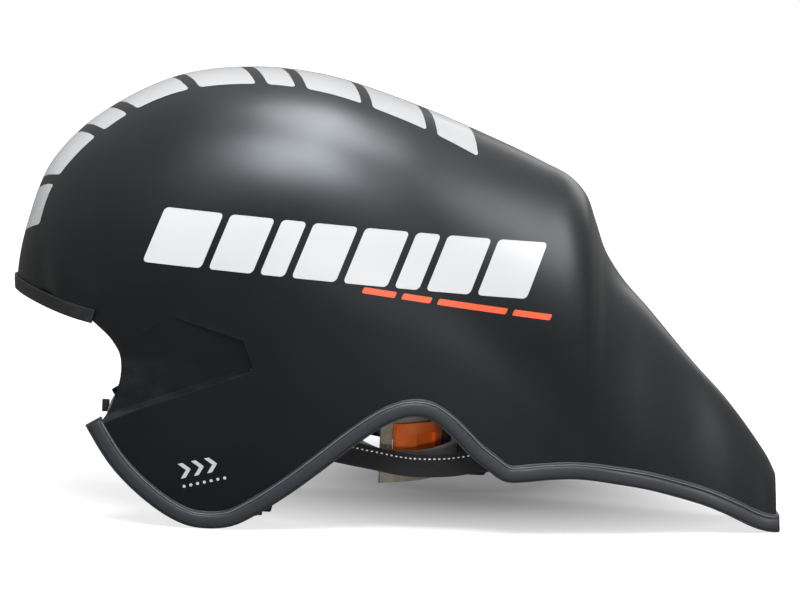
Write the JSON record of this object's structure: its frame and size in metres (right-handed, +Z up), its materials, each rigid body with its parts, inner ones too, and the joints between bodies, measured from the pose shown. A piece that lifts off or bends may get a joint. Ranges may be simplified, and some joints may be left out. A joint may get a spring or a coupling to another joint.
{
  "type": "aero time trial helmet",
  "caption": "One-piece hard helmet shell with a long drooping pointed tail, ear flaps, recessed visor pockets, foam liner, nape dial and buckled chin strap.",
  "frame": {"origin": "middle of the bounding box in plan, on the surface that the ear flaps and tail tip rest on", "axes": "+X from the brow towards the tail, +Y towards the wearer's right, +Z up"},
  "size_m": [0.4164, 0.2002, 0.2387],
  "materials": {
    "shell_black": "satin gloss black",
    "trim_rubber": "matt dark grey rubber",
    "foam_black": "matt black beaded foam",
    "pad_cloth": "black brushed cloth over foam",
    "hook_tape": "black hook tape",
    "ear_fleece": "light grey fleece",
    "webbing": "black woven webbing, white stitching",
    "hardware_black": "moulded black plastic",
    "dial_black": "soft black knob",
    "yoke_orange": "orange moulded plastic",
    "frame_tan": "tan moulded plastic",
    "band_grey": "grey moulded plastic",
    "screw_steel": "plain steel"
  },
  "bodies": {
    "helmet": {"outer_shell": "shell_black", "edge_trim": "trim_rubber", "brow_trim": "trim_rubber", "eps_liner": "foam_black", "tail_foam": "foam_black", "brow_pad": "pad_cloth", "rear_pad": "pad_cloth", "pad_fasteners": "hook_tape", "crown_pad_left": "pad_cloth", "crown_pad_right": "pad_cloth", "side_pad_left": "pad_cloth", "side_pad_right": "pad_cloth", "ear_pad_left": "ear_fleece", "ear_pad_right": "ear_fleece", "ear_tab_left": "webbing", "ear_tab_right": "webbing", "front_strap_left": "webbing", "front_strap_right": "webbing", "rear_strap_left": "webbing", "rear_strap_right": "webbing", "strap_divider_left": "hardware_black", "strap_divider_right": "hardware_black", "strap_hanger_left": "hardware_black", "strap_hanger_right": "hardware_black", "hanger_screw_left": "screw_steel", "hanger_screw_right": "screw_steel", "chin_strap_left": "webbing", "chin_strap_right": "webbing", "temple_pin_left": "hardware_black", "temple_pin_right": "hardware_black", "buckle_female": "hardware_black"},
    "cradle": {"cradle_yoke": "yoke_orange", "cradle_frame": "frame_tan", "nape_pad_left": "pad_cloth", "nape_pad_right": "pad_cloth", "dial_housing": "hardware_black", "dial_cover": "hardware_black", "cover_screw_low": "screw_steel", "cover_screw_high": "screw_steel"},
    "dial": {"dial_knob": "dial_black", "dial_shaft": "band_grey", "dial_cap": "shell_black"},
    "band_left": {"band_left": "band_grey"},
    "band_right": {"band_right": "band_grey"},
    "lever_left": {"cam_lever_left": "hardware_black"},
    "lever_right": {"cam_lever_right": "hardware_black"},
    "buckle_male": {"buckle_male": "hardware_black"},
    "strap_keeper": {"strap_keeper": "trim_rubber"}
  },
  "joints": [
    {"name": "cradle_tilt", "type": "hinge", "parent": "helmet", "child": "cradle", "pos_m": [-0.09998, 0, 0.08498], "axis": [0, 1, 0], "range_deg": [-8, 5]},
    {"name": "dial_turn", "type": "hinge", "parent": "cradle", "child": "dial", "pos_m": [0.045, 0, 0.0401], "axis": [-1, 0, 0], "range_deg": [-45, 78]},
    {"name": "band_left_slide", "type": "slide", "parent": "cradle", "child": "band_left", "axis": [0, 1, 0], "range_m": [-0.003, 0.005]},
    {"name": "band_right_slide", "type": "slide", "parent": "cradle", "child": "band_right", "axis": [0, -1, 0], "range_m": [-0.003, 0.005]},
    {"name": "lever_left_open", "type": "hinge", "parent": "helmet", "child": "lever_left", "pos_m": [-0.077, -0.0722, 0.04997], "axis": [1, 0, 0], "range_deg": [0, 70]},
    {"name": "lever_right_open", "type": "hinge", "parent": "helmet", "child": "lever_right", "pos_m": [-0.077, 0.0722, 0.04997], "axis": [-1, 0, 0], "range_deg": [0, 70]},
    {"name": "buckle_release", "type": "slide", "parent": "helmet", "child": "buckle_male", "axis": [0, 1, 0], "range_m": [0, 0.02]},
    {"name": "keeper_slide", "type": "slide", "parent": "helmet", "child": "strap_keeper", "axis": [0, 1, 0], "range_m": [-0.01, 0.013]}
  ],
  "couplings": [
    {"joint": "band_left_slide", "follows": "dial_turn", "m_per_rad": 0.0036},
    {"joint": "band_right_slide", "follows": "dial_turn", "m_per_rad": 0.0036}
  ]
}
